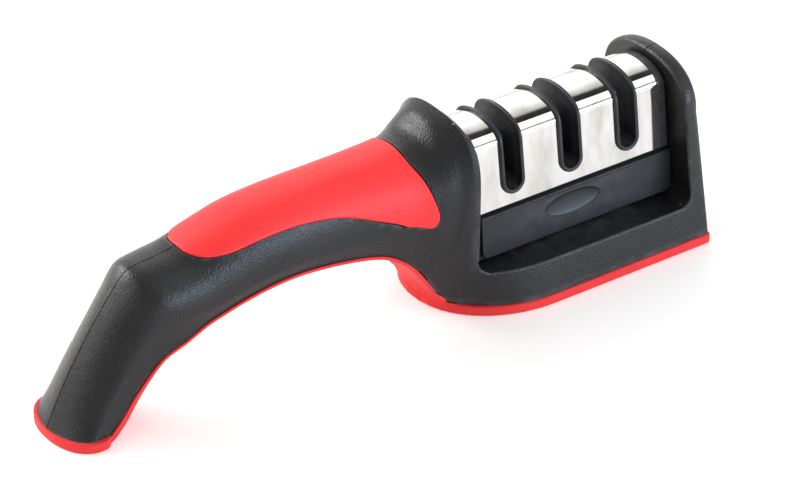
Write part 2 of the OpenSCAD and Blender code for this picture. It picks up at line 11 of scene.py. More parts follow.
import bmesh
import bpy
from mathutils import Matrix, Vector

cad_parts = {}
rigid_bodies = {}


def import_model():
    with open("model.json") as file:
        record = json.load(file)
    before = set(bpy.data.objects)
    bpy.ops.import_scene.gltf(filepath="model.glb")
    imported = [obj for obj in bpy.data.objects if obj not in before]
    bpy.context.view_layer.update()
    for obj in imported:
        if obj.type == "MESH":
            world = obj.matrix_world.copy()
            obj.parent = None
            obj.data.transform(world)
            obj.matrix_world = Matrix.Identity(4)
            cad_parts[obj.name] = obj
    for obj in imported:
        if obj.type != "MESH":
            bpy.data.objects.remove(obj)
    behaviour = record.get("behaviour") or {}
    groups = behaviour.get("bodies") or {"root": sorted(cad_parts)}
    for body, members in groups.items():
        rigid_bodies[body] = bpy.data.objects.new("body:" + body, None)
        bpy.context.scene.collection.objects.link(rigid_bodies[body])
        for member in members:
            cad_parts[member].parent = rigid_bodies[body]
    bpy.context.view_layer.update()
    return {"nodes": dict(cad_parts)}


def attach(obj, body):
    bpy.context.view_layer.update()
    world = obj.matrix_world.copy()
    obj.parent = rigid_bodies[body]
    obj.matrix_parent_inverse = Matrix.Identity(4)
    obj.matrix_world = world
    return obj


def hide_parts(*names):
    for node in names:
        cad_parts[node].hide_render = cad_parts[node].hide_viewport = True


bpy.ops.object.select_all(action="SELECT")
bpy.ops.object.delete()
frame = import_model()
MM = 0.001

# %% [markdown]
# ## Camera
# The picture was taken with a long lens from the front left, a third of the way up.
# A long focal length keeps the handle and the post at nearly the same scale, as they are in the picture.

# %% Camera
AZIMUTH, ELEVATION, ROLL = math.radians(-35.11), math.radians(32.18), math.radians(-0.12)
TARGET = Vector((6.53, -8.11, 25.2)) * MM
DISTANCE = 1091.2 * MM
back = Vector((math.sin(AZIMUTH) * math.cos(ELEVATION), -math.cos(AZIMUTH) * math.cos(ELEVATION),
               math.sin(ELEVATION)))
bpy.ops.object.camera_add(location=TARGET + back * DISTANCE)
camera = bpy.context.object
camera.rotation_euler = (-back).to_track_quat("-Z", "Y").to_euler()
camera.rotation_euler.rotate_axis("Z", ROLL)
camera.data.lens, camera.data.sensor_width = 180, 36
camera.data.clip_start, camera.data.clip_end = 0.01, 20
bpy.context.scene.camera = camera
print("camera at", [round(x, 3) for x in camera.location])

# %% [markdown]
# ## Helpers
# A moulded body has no straight edges to start from, so most pieces are lofted:
# a ring of vertices is added, placed on the first section, and extruded from section to section.
# Extruding keeps the vertices in order, so each new ring is the old one's neighbour by one edge.


# %% Helpers for selecting and lofting
def only(*pieces):
    """Object mode, with these pieces selected and the first one active."""
    if bpy.context.mode != "OBJECT":
        bpy.ops.object.mode_set(mode="OBJECT")
    bpy.ops.object.select_all(action="DESELECT")
    for piece in pieces:
        piece.select_set(True)
    bpy.context.view_layer.objects.active = pieces[0] if pieces else None


def select_only(bm, verts):
    """Selects these vertices of the mesh in edit mode, and what lies between them."""
    for face in bm.faces:
        face.select = False
    for edge in bm.edges:
        edge.select = False
    for vert in bm.verts:
        vert.select = False
    for vert in verts:
        vert.select = True
    bm.select_flush(True)


def run_chain(bm, rings, closed):
    """Extrudes a ring or an open row of vertices through the given places, in mm. Returns its rows."""
    before = set(bm.verts)
    bpy.ops.mesh.select_all(action="DESELECT")
    bpy.ops.mesh.primitive_circle_add(vertices=len(rings[0]), radius=MM)
    row = [next(v for v in bm.verts if v not in before)]
    while len(row) < len(rings[0]):
        row.append(next(v for e in row[-1].link_edges if (v := e.other_vert(row[-1])) not in row))
    if not closed:
        for edge in bm.edges:
            edge.select = False
        bm.edges.get((row[-1], row[0])).select = True
        bpy.ops.mesh.delete(type="EDGE")
    rows = []
    for ring in rings:
        if rows:
            select_only(bm, row)
            bpy.ops.mesh.extrude_region()
            row = [next(e.other_vert(v) for e in v.link_edges if e.other_vert(v).select) for v in row]
        for vert, place in zip(row, ring):
            vert.co = Vector(place) * MM
        rows.append(row)
    return rows


def start_piece(name):
    """An empty mesh piece in edit mode."""
    only()
    bpy.ops.mesh.primitive_circle_add(vertices=3)
    piece = bpy.context.object
    piece.name = piece.data.name = name
    bpy.ops.object.mode_set(mode="EDIT")
    bpy.ops.mesh.select_mode(type="VERT")
    bpy.ops.mesh.select_all(action="SELECT")
    bpy.ops.mesh.delete(type="VERT")
    return piece, bmesh.from_edit_mesh(piece.data)


def close_up(piece):
    """Merges doubles, turns the faces outwards and goes back to object mode."""
    bpy.ops.mesh.select_all(action="SELECT")
    bpy.ops.mesh.remove_doubles(threshold=0.002 * MM)
    bpy.ops.mesh.normals_make_consistent(inside=False)
    bpy.ops.object.mode_set(mode="OBJECT")
    return piece


def loft(name, rings, closed=True):
    """A piece lofted through rings of places in mm, with both ends filled when the rings are closed."""
    piece, bm = start_piece(name)
    rows = run_chain(bm, rings, closed)
    if closed:
        for row in (rows[0], rows[-1]):
            select_only(bm, row)
            bpy.ops.mesh.edge_face_add()
    return close_up(piece)


def modify(piece, kind, **settings):
    """Adds a modifier and applies it."""
    only(piece)
    modifier = piece.modifiers.new(kind.title(), kind)
    for key, value in settings.items():
        setattr(modifier, key, value)
    bpy.ops.object.modifier_apply(modifier=modifier.name)


def carve(piece, cutter, operation="DIFFERENCE"):
    """A Boolean with another piece, which is used up."""
    modify(piece, "BOOLEAN", object=cutter, operation=operation, solver="MANIFOLD")
    bpy.data.objects.remove(cutter)


def soften(piece, angle=35):
    """Smooth shading that stays sharp at real edges, with large faces kept flat."""
    only(piece)
    bpy.ops.object.shade_smooth_by_angle(angle=math.radians(angle))
    modify(piece, "WEIGHTED_NORMAL", keep_sharp=True, weight=60)


def report_piece(piece):
    """Prints a piece's faces and size."""
    size = [round(x / MM, 1) for x in piece.dimensions]
    print(f"{piece.name}: {len(piece.data.polygons)} faces, {size} mm")


# %% [markdown]
# ## The body's form
# The body is one flowing form cut in two along its middle: a tail leg, an arched handle, a shoulder,
# a base and a front post. It is described by sections. Each section has a crown point, a sole point,
# a half width, a half width at the sole, the share of its height that is rounded, and how square it is.
# A smooth curve through the sections gives any section between them.

# %% Sizes of the body, in mm
LENGTH, BASE_W, CREST_H, POST_H = 205, 51.6, 58.8, 53.8
TAIL_X, FRONT_X, BEND_X = -LENGTH / 2, LENGTH / 2, -75.7
BAY_X0, BAY_X1, FLOOR_Z, BAY_R = 25.7, 96.7, 13.2, 4
BEND_H, HANDLE_H, ARCH_H, SOLE_T, SOLE_LIP = 43.2, 51.5, 31.2, 3, 0.6
FOOT_LEN, LEG_RUN, LEG_BOW, POST_T = 13, 26.8, 2.2, 5.2
HEEL_C, HEEL_LEN, HEEL_POWER = 48, 31.5, 2.1
HAND_W, FOOT_W, HEAD_W = 13.5, 14 - SOLE_LIP, 19
REAR_TOP, BAY_LEN = CREST_H - 1.3, BAY_X1 - BAY_X0


def hx(f): return BEND_X + f * (BAY_X0 - BEND_X)
def hz(f): return BEND_H + f * (HANDLE_H - BEND_H)
def az(f): return SOLE_T + f * (ARCH_H - SOLE_T)
def cz(f): return HANDLE_H + f * (CREST_H - HANDLE_H)
def leg_x(f): return TAIL_X + SOLE_LIP + f * (LEG_RUN - SOLE_LIP) - LEG_BOW * 4 * f * (1 - f)
def leg_z(f): return SOLE_T + f * (BEND_H - SOLE_T)
def arch_x(f): return TAIL_X + FOOT_LEN + f * (hx(0.17) - TAIL_X - FOOT_LEN)


def base_half(x):
    """Half width of the sole plate at x: a rounded heel that runs into straight sides."""
    if x >= HEEL_C:
        return BASE_W / 2
    share = max(0.01, 1 - ((HEEL_C - x) / HEEL_LEN) ** HEEL_POWER)
    return BASE_W / 2 * share ** (1 / HEEL_POWER)


def base_shell(x): return base_half(x) - SOLE_LIP
def bay_top(x): return REAR_TOP + (POST_H - REAR_TOP) * x / BAY_LEN


hw, fw, gw = HAND_W, FOOT_W, HEAD_W
sections = [
    (leg_x(0), leg_z(0), arch_x(0), az(0), fw - 0.4, fw - 1, 0.58, 1.75),
    (leg_x(0.13), leg_z(0.13), arch_x(0.11), az(0.133), fw - 1, fw - 0.8, 0.58, 1.6),
    (leg_x(0.34), leg_z(0.34), arch_x(0.25), az(0.318), hw - 1.3, hw - 1.2, 0.58, 1.55),
    (leg_x(0.54), leg_z(0.54), arch_x(0.39), az(0.476), hw - 1.4, hw - 1.3, 0.57, 1.55),
    (leg_x(0.72), leg_z(0.72), arch_x(0.53), az(0.608), hw - 1.2, hw - 1.3, 0.56, 1.6),
    (leg_x(0.86), leg_z(0.86), arch_x(0.645), az(0.672), hw - 1, hw - 1.2, 0.55, 1.75),
    (leg_x(0.955), leg_z(0.955), arch_x(0.76), az(0.717), hw - 0.6, hw - 1.1, 0.55, 1.95),
    (hx(0.012), hz(0), arch_x(0.86), az(0.77), hw - 0.2, hw - 1, 0.6, 2.1),
    (hx(0.072), hz(0.08), hx(0.17), az(0.836), hw, hw - 1, 0.7, 2.3),
    (hx(0.141), hz(0.18), hx(0.225), az(0.89), hw, hw - 1, 0.78, 2.4),
    (hx(0.23), hz(0.5), hx(0.28), az(0.937), hw, hw - 1, 0.8, 2.42),
    (hx(0.343), hz(0.84), hx(0.373), az(0.99), hw, hw - 1, 0.8, 2.42),
    (hx(0.471), hz(0.96), hx(0.481), az(1), hw, hw - 1, 0.8, 2.42),
    (hx(0.629), hz(1), hx(0.619), az(0.937), hw, hw - 1, 0.77, 2.4),
    (hx(0.748), hz(1.01), hx(0.728), az(0.835), hw + 0.6, hw - 1, 0.68, 2.35),
    (hx(0.85), cz(0.07), hx(0.797), az(0.678), hw + 1.4, hw - 1, 0.58, 2.3),
    (hx(0.9), cz(0.27), hx(0.841), az(0.511), hw + 2.6, hw - 1.05, 0.5, 2.25),
    (hx(0.934), cz(0.72), hx(0.878), az(0.316), gw - 2, hw - 1.2, 0.48, 2.2),
    (hx(0.968), cz(0.9), hx(0.911), az(0.131), gw - 1.6, hw - 1.4, 0.44, 2.6),
    (hx(0.985), cz(0.96), hx(0.938), az(0.023), gw - 0.5, hw - 1.2, 0.42, 2.8),
    (hx(0.996), REAR_TOP, hx(0.996), az(0), gw, base_shell(hx(0.996)) - 0.7, 0.33, 3),
]
for x in (5, 11, 18, 26, BAY_LEN / 2, BAY_LEN - 5):
    low_half = base_shell(BAY_X0 + x) - max(0, 0.7 - x / 15)
    sections.append((BAY_X0 + x, bay_top(x), BAY_X0 + x, SOLE_T, gw, low_half,
                     0.33 - 0.06 * x / BAY_LEN, 3.6 - 1.3 * x / BAY_LEN))
for share, low_share, drop, slim, low_slim in (
        (0.08, 0.08, 0.3, 0, 0), (0.36, 0.36, 0, 0, 0), (0.7, 0.7, 0.1, 0.4, 0),
        (0.93, 0.95, 0.8, 1.2, 0.2), (0.97, 1, 1.8, 2.2, 0.7)):
    sections.append((BAY_X1 + share * POST_T, POST_H - drop, BAY_X1 + low_share * POST_T, SOLE_T,
                     gw - slim, base_shell(BAY_X1) - low_slim, 0.27, 2.3))
LAST = len(sections) - 1
print(len(sections), "sections")


# %% A point of the body's surface
def section_at(u):
    """The section at place u along the list, on a smooth curve through the listed ones."""
    i = min(int(u), LAST - 1)
    a, b, c, d = (sections[min(max(k, 0), LAST)] for k in (i - 1, i, i + 1, i + 2))
    t = u - i
    r = [0.5 * (2 * q + (s - p) * t + (2 * p - 5 * q + 4 * s - w) * t * t
                + (3 * q - p - 3 * s + w) * t ** 3) for p, q, s, w in zip(a, b, c, d)]
    r[3] = max(r[3], SOLE_T)
    return r


Q_SIDE, FLARE, POST_FLARE = 0.6, 1.25, 0.95
FLARE_FROM, FLARE_OVER, FIRST_UPRIGHT = 22, 5, 19.5


def eased(t):
    """A smooth step from 0 to 1."""
    t = min(1, max(0, t))
    return t * t * (3 - 2 * t)


def body_point(u, q, inset=0.0, side=-1):
    """q runs from the crown (0) round the side (Q_SIDE) to the sole edge (1)."""
    tx, tz, bx, bz, wide, low, share, square = section_at(u)
    d = math.hypot(bx - tx, bz - tz)
    m, w = share * d, wide - inset
    if q <= Q_SIDE:
        a = math.pi / 2 * q / Q_SIDE
        s = inset + (m - inset) * (1 - max(0, math.cos(a)) ** (2 / square))
        y = w * math.sin(a) ** (2 / square)
    else:
        t = (q - Q_SIDE) / (1 - Q_SIDE)
        flare = FLARE + (POST_FLARE - FLARE) * eased((u - FLARE_FROM) / FLARE_OVER)
        s, y = m + (d - m) * t, w + (low - wide) * t ** flare
    return (tx + (bx - tx) * s / d, side * y, tz + (bz - tz) * s / d)


def place_of_x(x):
    """The place u in the upright sections at the front whose section stands at x."""
    low, high = FIRST_UPRIGHT, float(LAST)
    for _ in range(40):
        mid = (low + high) / 2
        low, high = (mid, high) if section_at(mid)[0] < x else (low, mid)
    return (low + high) / 2


def share_of_height(u, z):
    """The q on the side below the rounding at which section u is at height z."""
    tx, tz, bx, bz, wide, low, share, square = section_at(u)
    return Q_SIDE + (1 - Q_SIDE) * ((tz - z) / (tz - bz) - share) / (1 - share)


U_WALL, U_POST = place_of_x(BAY_X0), place_of_x(BAY_X1)
print("shoulder wall at section", round(U_WALL, 3), "and post wall at", round(U_POST, 3))

# %% [markdown]
# ## The near half of the body
# On the real object this is one injection moulding. Three rows of quads make its outside: handle and
# shoulder, the side of the base, and the post. The edges of the cradle are then extruded to the split
# plane, the walls and the split face are filled, and bevel weights round the edges by different amounts.

# %% Near half: outside, cradle and split face
CROWN_N, SIDE_N, BASE_N, STEPS = 18, 6, 5, 6
CORNER_Z = FLOOR_Z + BAY_R
HANDLE_ROWS, POST_U, POST_ROWS, FOOT_X = 118, 28, 18, -80


def down_the_side(q_corner):
    """The q of each row: round the crown, down the side to the cradle's corner, down to the sole."""
    return ([Q_SIDE * i / CROWN_N for i in range(CROWN_N)]
            + [Q_SIDE + (q_corner - Q_SIDE) * i / SIDE_N for i in range(SIDE_N)]
            + [q_corner + (1 - q_corner) * i / BASE_N for i in range(BASE_N + 1)])


def cradle_line():
    """The cradle's lower outline as (x, z), from the shoulder wall over the floor to the post wall."""
    arc_n, line = 8, []
    for i in range(arc_n + 1):
        a = math.pi + math.pi / 2 * i / arc_n
        line.append((BAY_X0 + BAY_R + BAY_R * math.cos(a), CORNER_Z + BAY_R * math.sin(a)))
    x = BAY_X0 + BAY_R
    while x < BAY_X1 - BAY_R - 3:
        x += 2 if x < HEEL_C else 4
        line.append((x, FLOOR_Z))
    for i in range(arc_n + 1):
        a = 1.5 * math.pi + math.pi / 2 * i / arc_n
        line.append((BAY_X1 - BAY_R + BAY_R * math.cos(a), CORNER_Z + BAY_R * math.sin(a)))
    return line


near, bm = start_piece("near_half")
q_rear = down_the_side(share_of_height(U_WALL, CORNER_Z))
q_post = down_the_side(share_of_height(U_POST, CORNER_Z))
handle_places = [i / STEPS for i in range(HANDLE_ROWS)] + [U_WALL]
post_places = [U_POST, POST_U - 0.4] + [POST_U + i / STEPS for i in range(POST_ROWS + 1)]
run_chain(bm, [[body_point(u, q) for q in q_rear] for u in handle_places], closed=False)
run_chain(bm, [[body_point(u, q) for q in q_post] for u in post_places], closed=False)
base_rows = []
for x, z in cradle_line():
    u = min(max(place_of_x(x), U_WALL), U_POST)
    q_top = share_of_height(u, z)
    base_rows.append([body_point(u, q_top + (1 - q_top) * i / BASE_N) for i in range(BASE_N + 1)])
base = run_chain(bm, base_rows, closed=False)


def to_split_plane(row):
    """Extrudes a row of vertices straight across to the split plane."""
    select_only(bm, row)
    bpy.ops.mesh.extrude_region()
    bpy.ops.transform.resize(value=(1, 0, 1), center_override=(0, 0, 0))


to_split_plane([row[0] for row in base])
bpy.ops.mesh.select_all(action="SELECT")
bpy.ops.mesh.remove_doubles(threshold=0.002 * MM)


def at(vert, x=None, y=None, z=None, near_by=0.01):
    """Whether a vertex lies at these places, in mm."""
    return all(p is None or abs(c / MM - p) < near_by for c, p in zip(vert.co, (x, y, z)))


def fill(test):
    """Fills the open edges whose ends both pass the test with one face."""
    edges = [e for e in bm.edges if e.is_boundary and all(test(v) for v in e.verts)]
    select_only(bm, {v for e in edges for v in e.verts})
    bpy.ops.mesh.edge_face_add()


for wall_x in (BAY_X0, BAY_X1):
    fill(lambda v: at(v, x=wall_x) and v.co.z > (CORNER_Z - 0.01) * MM)
foot_ring = [v for v in bm.verts if v.co.x < FOOT_X * MM and at(v, z=SOLE_T)]
select_only(bm, foot_ring)
bpy.ops.mesh.edge_face_add()
fill(lambda v: v.co.x > (FRONT_X - 0.75) * MM and v.is_boundary)
under = [v for e in bm.edges if e.is_boundary and not all(at(v, y=0) for v in e.verts) for v in e.verts]
to_split_plane(list(set(under)))
bpy.ops.mesh.select_all(action="SELECT")
bpy.ops.mesh.remove_doubles(threshold=0.002 * MM)
fill(lambda v: at(v, y=0))
print("near half:", len(bm.faces), "faces before its edges are rounded")


# %% Near half: rounded edges
def weigh(numbers, weight):
    """Gives the edges of these numbers a bevel weight from 0 to 1, a share of the modifier's width."""
    bpy.ops.mesh.select_mode(type="EDGE")
    bpy.ops.mesh.select_all(action="DESELECT")
    mesh = bmesh.from_edit_mesh(near.data)
    mesh.edges.ensure_lookup_table()
    for number in numbers:
        mesh.edges[number].select = True
    mesh.select_flush_mode()
    bpy.ops.transform.edge_bevelweight(value=weight)
    print(len(numbers), "edges rounded by", weight * EDGE_ROUND, "mm")


def sharp_edges(mesh):
    """The edges between two faces that meet at more than 40 degrees."""
    return [e for e in mesh.edges if len(e.link_faces) == 2 and e.calc_face_angle(0) > math.radians(40)]


EDGE_ROUND, WALL_SHARE, LEDGE_SHARE = 1, 1, 0.6
bpy.ops.mesh.select_all(action="SELECT")
bpy.ops.mesh.normals_make_consistent(inside=False)
bm.edges.index_update()
wall = [e.index for e in sharp_edges(bm) if not all(at(v, y=0) for v in e.verts)
        and any(all(at(v, x=x) for v in e.verts) for x in (BAY_X0, BAY_X1))]
ledge = [e.index for e in sharp_edges(bm) if e.index not in wall
         and all((FLOOR_Z - 0.01) * MM < v.co.z < (CORNER_Z + 0.01) * MM and v.co.y < -HEAD_W / 2 * MM
                 for v in e.verts)]
weigh(wall, WALL_SHARE)
weigh(ledge, LEDGE_SHARE)
bpy.ops.mesh.select_mode(type="VERT")
close_up(near)
modify(near, "BEVEL", limit_method="WEIGHT", width=EDGE_ROUND * MM, segments=4, use_clamp_overlap=False)

# %% Near half: a fine groove along the split line
# The groove stops under the grip, because the crest of the shoulder shows no split line.
SEAM, SEAM_DEEP, SEAM_END_X = 0.15, 0.4, 0
only(near)
bpy.ops.object.mode_set(mode="EDIT")
bpy.ops.mesh.select_mode(type="EDGE")
bpy.ops.mesh.select_all(action="DESELECT")
bm = bmesh.from_edit_mesh(near.data)
seam = [e for e in sharp_edges(bm) if all(at(v, y=0) for v in e.verts)
        and min(f.normal.z for f in e.link_faces) > -0.05
        and not all(SEAM_END_X * MM < v.co.x < (BAY_X0 - 0.01) * MM and v.co.z > HANDLE_H * MM
                    for v in e.verts)]
for edge in seam:
    edge.select = True
bm.select_flush_mode()
bpy.ops.mesh.bevel(offset=SEAM * MM, segments=1, affect="EDGES", clamp_overlap=False)
bm = bmesh.from_edit_mesh(near.data)
for vert in [v for v in bm.verts if v.select and at(v, y=0)]:
    slopes = [f.normal for f in vert.link_faces if f.select]
    inward = -sum((Vector((n.x, 0, n.z)) for n in slopes), Vector()).normalized()
    vert.co += inward * SEAM_DEEP * MM
bpy.ops.mesh.select_mode(type="VERT")
close_up(near)
report_piece(near)

# %% [markdown]
# ## The grip and its seat
# The grip is a sheet of soft rubber moulded into a shallow seat over the handle. It starts as rows of
# quads laid on the body's own form. The outer lines are drawn close together and sunk a little, so that
# the rim rolls down into the seat. Solidify gives the sheet its thickness.

# %% Grip outline
GRIP_U0, GRIP_T, GRIP_LEN, GRIP_PROUD = 9.15, 1.3, 76, 0.3
SEAT_GROW, SEAT_OVER, SEAT_PLAY = 0.006, 1, 0.05
GRIP_LOW = [(9.12, 0.026), (9.2, 0.113), (9.38, 0.195), (9.7, 0.263), (10.1, 0.309), (10.4, 0.329),
            (10.9, 0.346), (11.9, 0.363), (12.3, 0.381), (12.7, 0.41), (13.2, 0.467), (13.7, 0.524),
            (14.4, 0.584), (15.3, 0.654), (16, 0.68), (16.6, 0.653)]
GRIP_END = [(0, 14.86), (0.2, 14.86), (0.4, 15), (0.6, 15.44), (0.75, 15.9), (0.85, 16.23), (0.91, 16.37),
            (0.95, 16.36), (0.98, 16.18), (1, 15.8)]


def on_curve(points, x):
    """The height at x of a smooth curve through a list of points."""
    n = len(points) - 1
    i = max([k for k in range(n) if points[k][0] <= x], default=0)

    def slope(k):
        (xa, ya), (xb, yb) = points[max(k - 1, 0)], points[min(k + 1, n)]
        return (yb - ya) / (xb - xa)

    (xa, ya), (xb, yb) = points[i], points[i + 1]
    h = xb - xa
    t = (x - xa) / h
    return ((2 * t ** 3 - 3 * t * t + 1) * ya + (t ** 3 - 2 * t * t + t) * h * slope(i)
            + (3 * t * t - 2 * t ** 3) * yb + (t ** 3 - t * t) * h * slope(i + 1))


def grip_point(t, v, inset, grow=0.0):
    """A point of the grip: t runs from its rear to its front, v from its near edge (-1) to its far one."""
    u = GRIP_U0 - grow + (on_curve(GRIP_END, abs(v)) - GRIP_U0 + 2 * grow) * t
    return body_point(u, abs(v) * (on_curve(GRIP_LOW, u) + grow), inset, -1 if v < 0 else 1)


RIM = [(0, -0.4), (0.1, -0.05), (0.25, 0.13), (0.5, 0.25), (0.9, GRIP_PROUD)]
ALONG_N, ACROSS_N = 60, 12


def grip_rows(rolled):
    """Rows of points over the grip. The rim lines lie at set distances in mm from its edge."""
    ts = ([(d / GRIP_LEN, rise) for d, rise in RIM]
          + [(0.012 + 0.976 * i / ALONG_N, GRIP_PROUD) for i in range(1, ALONG_N)]
          + [(1 - d / GRIP_LEN, rise) for d, rise in reversed(RIM)])
    rows = []
    for t, rise_t in ts:
        steps = [Vector(grip_point(t, i / 20, 0)) for i in range(21)]
        across = sum((b - a).length for a, b in zip(steps, steps[1:]))
        half = [(1 - d / across, rise) for d, rise in RIM]
        first, corner = half[-1][0], min(6 / across, 0.5)
        half += [(first + (1 - corner - first) * f, GRIP_PROUD)
                 for f in (0.09, 0.19, 0.31, 0.44, 0.6, 0.79, 1)]
        inner = half[-1][0]
        half += [(inner * (1 - i / ACROSS_N), GRIP_PROUD) for i in range(1, ACROSS_N)]
        line = [(-v, r) for v, r in half] + [(0, GRIP_PROUD)] + [(v, r) for v, r in reversed(half)]
        if rolled:
            rows.append([grip_point(t, v, -min(r, rise_t)) for v, r in line])
        else:
            rows.append([grip_point(t, v, -SEAT_OVER, SEAT_GROW) for v, _ in line])
    return rows


seat = loft("grip_seat", grip_rows(rolled=False), closed=False)
modify(seat, "SOLIDIFY", thickness=(GRIP_T + SEAT_OVER + SEAT_PLAY) * MM, offset=-1)
carve(near, seat)
grip = loft("soft_grip", grip_rows(rolled=True), closed=False)
modify(grip, "SOLIDIFY", thickness=GRIP_T * MM, offset=-1)
soften(grip, 60)
report_piece(grip)
report_piece(near)

# %% [markdown]
# ## The cradle's pocket and the far half
# The cradle floor has a pocket that locates the cartridge. The far half is the near one mirrored,
# so its faces are turned outwards again. Its screws go in from the far side, through round wells.


# %% Pocket, far half and screw wells
def rounded_box(name, low, high, edge):
    """A box given by two corners in mm, with rounded edges."""
    only()
    bpy.ops.mesh.primitive_cube_add(size=1)
    box = bpy.context.object
    box.name = box.data.name = name
    bpy.ops.object.mode_set(mode="EDIT")
    bpy.ops.transform.resize(value=[(b - a) * MM for a, b in zip(low, high)], center_override=(0, 0, 0))
    bpy.ops.transform.translate(value=[(a + b) / 2 * MM for a, b in zip(low, high)])
    bpy.ops.mesh.select_all(action="SELECT")
    bpy.ops.mesh.bevel(offset=edge * MM, segments=3, affect="EDGES")
    bpy.ops.object.mode_set(mode="OBJECT")
    return box


MID_X = (BAY_X0 + BAY_X1) / 2
POCKET_LEN, POCKET_W, POCKET_D = 42, 16, 5
carve(near, rounded_box("pocket", (MID_X - POCKET_LEN / 2, -POCKET_W / 2, FLOOR_Z - POCKET_D),
                        (MID_X + POCKET_LEN / 2, POCKET_W / 2, FLOOR_Z + 4), 0.4))
only(near)
bpy.ops.object.duplicate()
far = bpy.context.object
far.name = far.data.name = "far_half"
bpy.ops.object.mode_set(mode="EDIT")
bpy.ops.mesh.select_all(action="SELECT")
bpy.ops.transform.resize(value=(1, -1, 1), center_override=(0, 0, 0))
bpy.ops.mesh.flip_normals()
bpy.ops.object.mode_set(mode="OBJECT")


def well(name, x, z, wide, y0, y1):
    """A round cutter along Y, in mm."""
    turns = [math.tau * k / 32 for k in range(32)]
    return loft(name, [[(x + wide / 2 * math.cos(a), y, z + wide / 2 * math.sin(a)) for a in turns]
                       for y in (y0, y1)])


SCREW_U, SCREW_SEAT, WELL_D = (2.6, 12, 16.4), 8, 6
centres = []
for u in SCREW_U:
    tx, tz, bx, bz = section_at(u)[:4]
    centres.append(((tx + bx) / 2, (tz + bz) / 2))
centres.append((BAY_X1 - 5, (SOLE_T + FLOOR_Z) / 2))
for x, z in centres:
    carve(far, well("screw_well", x, z, WELL_D, SCREW_SEAT, 30))
for half in (near, far):
    soften(half)
    report_piece(half)

# %% [markdown]
# ## The sole
# One red moulding lies under the whole body: a pad under the tail foot, a strip under the handle and a
# plate under the base. The pad and the plate are their outlines lofted upwards with rounded edges.
# The strip is a soft-edged section swept along the arch. A Boolean makes the three one piece.

# %% Pad and plate
EDGE_LEVELS = [(0, 0.55), (0.1, 0.25), (0.35, 0.03), (0.6, 0), (2.5, 0), (2.75, 0.04), (2.9, 0.2),
               (2.95, 0.4)]


def drawn_in(outline, by):
    """An outline moved inwards by a distance in mm, along the mean normal at each corner."""
    moved, n = [], len(outline)
    for i in range(n):
        p, a, b = (Vector(outline[k % n]) for k in (i, i - 1, i + 1))
        one, two = (p - a).normalized(), (b - p).normalized()
        normal = Vector((-one.y - two.y, one.x + two.x)).normalized()
        moved.append(p + normal * by / max(0.5, normal.dot(Vector((-one.y, one.x)))))
    return moved


def plate(name, half_outline):
    """A plate with rounded edges. The half outline runs from the rear to the front at y below zero."""
    outline = half_outline + [(x, -y) for x, y in reversed(half_outline)]
    return loft(name, [[(p.x, p.y, z) for p in drawn_in(outline, by)] for z, by in EDGE_LEVELS])


FRONT_R, HEEL_N = 1.4, 30
heel_tip = HEEL_C - HEEL_LEN
heel_x = [heel_tip + HEEL_LEN * (i / HEEL_N) ** 1.8 for i in range(HEEL_N + 1)]
base_edge = [(x, -base_half(x)) for x in heel_x]
base_edge += [(HEEL_C + i * 8.8, -BASE_W / 2) for i in range(1, 7)]
for i in range(7):
    a = -math.pi / 2 + math.pi / 2 * i / 6
    base_edge.append((FRONT_X - FRONT_R + FRONT_R * math.cos(a),
                      -BASE_W / 2 + FRONT_R + FRONT_R * math.sin(a)))
sole = plate("red_sole", base_edge)
PAD_REAR, PAD_MID, PAD_FRONT, PAD_W = TAIL_X + 0.02, -93, -88.3, 14.2
foot_edge = []
for i in range(1, 33):
    a = math.pi * i / 33
    reach, power = (PAD_REAR - PAD_MID, 2.15) if a < math.pi / 2 else (PAD_FRONT - PAD_MID, 3)
    foot_edge.append((PAD_MID + reach * abs(math.cos(a)) ** (2 / power), -PAD_W * math.sin(a) ** (2 / power)))
foot_pad = plate("foot_pad", foot_edge)
report_piece(sole)
report_piece(foot_pad)

# %% Strip under the handle
HEEL_U, HEEL_GAP, STRIP_LIP, SEAT_GAP = 19, 0.05, 0.4, 0.05
STRIP_LOW = SOLE_T / 4


def heel_edge(y):
    """x of the plate's rounded heel at half width y."""
    return HEEL_C - HEEL_LEN * (1 - (abs(y) / (BASE_W / 2)) ** HEEL_POWER) ** (1 / HEEL_POWER)


def strip_ring(u):
    """Section of the strip: level on the shell, soft-edged below, drawn down to the plate at the heel."""
    def sole_mid(k):
        r = section_at(k)
        return Vector((r[2], 0, r[3]))

    heel, foot = eased((u - 15) / (HEEL_U - 15)), 1 - eased(u / 4.5)
    along = sole_mid(u + 0.5) - sole_mid(max(0, u - 0.5))
    normal = Vector((along.z, 0, -along.x)).normalized()
    wide = section_at(u)[5] + STRIP_LIP
    depth, power, edge = 1.2 + 0.9 * foot, 6 - 3.4 * heel, 0.42 + 0.35 * foot
    across = [math.sin(math.pi / 2 * i / 12) for i in range(12, -13, -1)]
    section = [(SEAT_GAP, 1), (0.2, 1)]
    section += [(depth * (edge + (1 - edge) * max(0, 1 - abs(a) ** power) ** (1 / power)), a) for a in across]
    section += [(0.2, -1), (SEAT_GAP, -1)]
    mid, ring = sole_mid(u), []
    land = eased((u - HEEL_U + 1.6) / 1.6)
    for down, a in section:
        x, z = mid.x + normal.x * down, max(mid.z + normal.z * down, STRIP_LOW)
        if down > 0.2 and u <= HEEL_U:
            x += land * (heel_edge(a * wide) + HEEL_GAP - x)
            z += land ** 6 * (STRIP_LOW - z)
        elif u > HEEL_U:
            x, z = mid.x, STRIP_LOW if down > 0.2 else mid.z - down
        ring.append((x, a * wide, z))
    return ring


